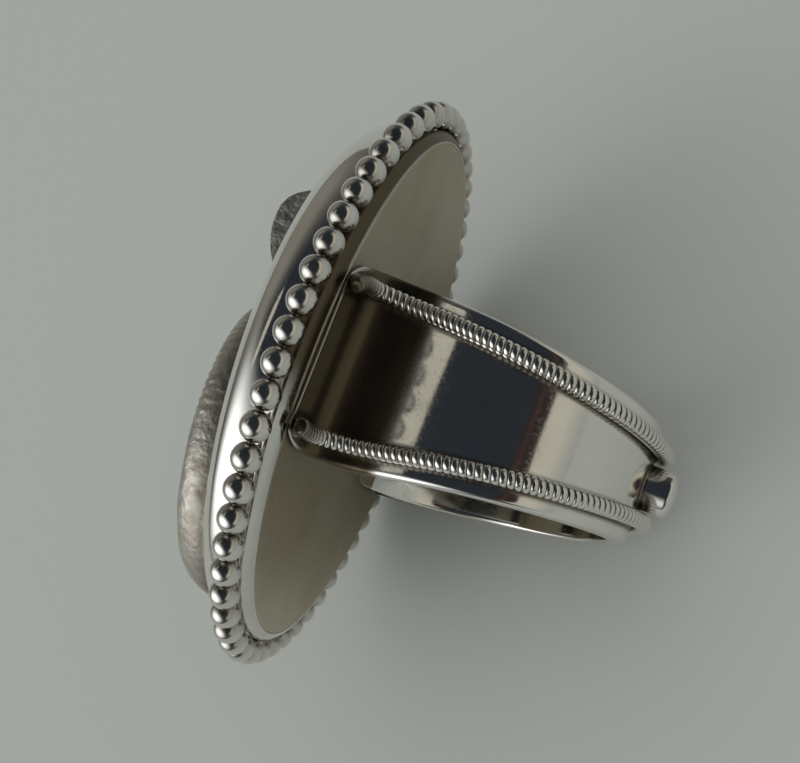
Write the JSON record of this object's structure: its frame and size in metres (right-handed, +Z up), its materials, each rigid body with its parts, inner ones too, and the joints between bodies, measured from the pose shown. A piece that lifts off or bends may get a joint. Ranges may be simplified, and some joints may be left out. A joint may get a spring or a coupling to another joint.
{
  "type": "dress ring",
  "caption": "Silver dress ring: a tapered band with wound wires along its edges carries a large oval domed head with a beaded border and a raised spiral shell.",
  "frame": {"origin": "centre of the finger hole", "axes": "+Y along the finger hole, +Z up as the ring lies on its side on a table, head towards -X and 22 degrees up"},
  "size_m": [0.0303, 0.0378, 0.0289],
  "materials": {
    "polished_silver": "polished",
    "matt_silver": "matt",
    "cast_silver": "satin, dark in the grooves"
  },
  "bodies": {
    "root": {"shank": "polished_silver", "coil_wire_top": "polished_silver", "coil_wire_bottom": "polished_silver", "base_collet": "polished_silver", "back_plate": "matt_silver", "rim_wall": "polished_silver", "bead_row": "polished_silver", "dome": "polished_silver", "shell_relief": "cast_silver"}
  },
  "joints": []
}
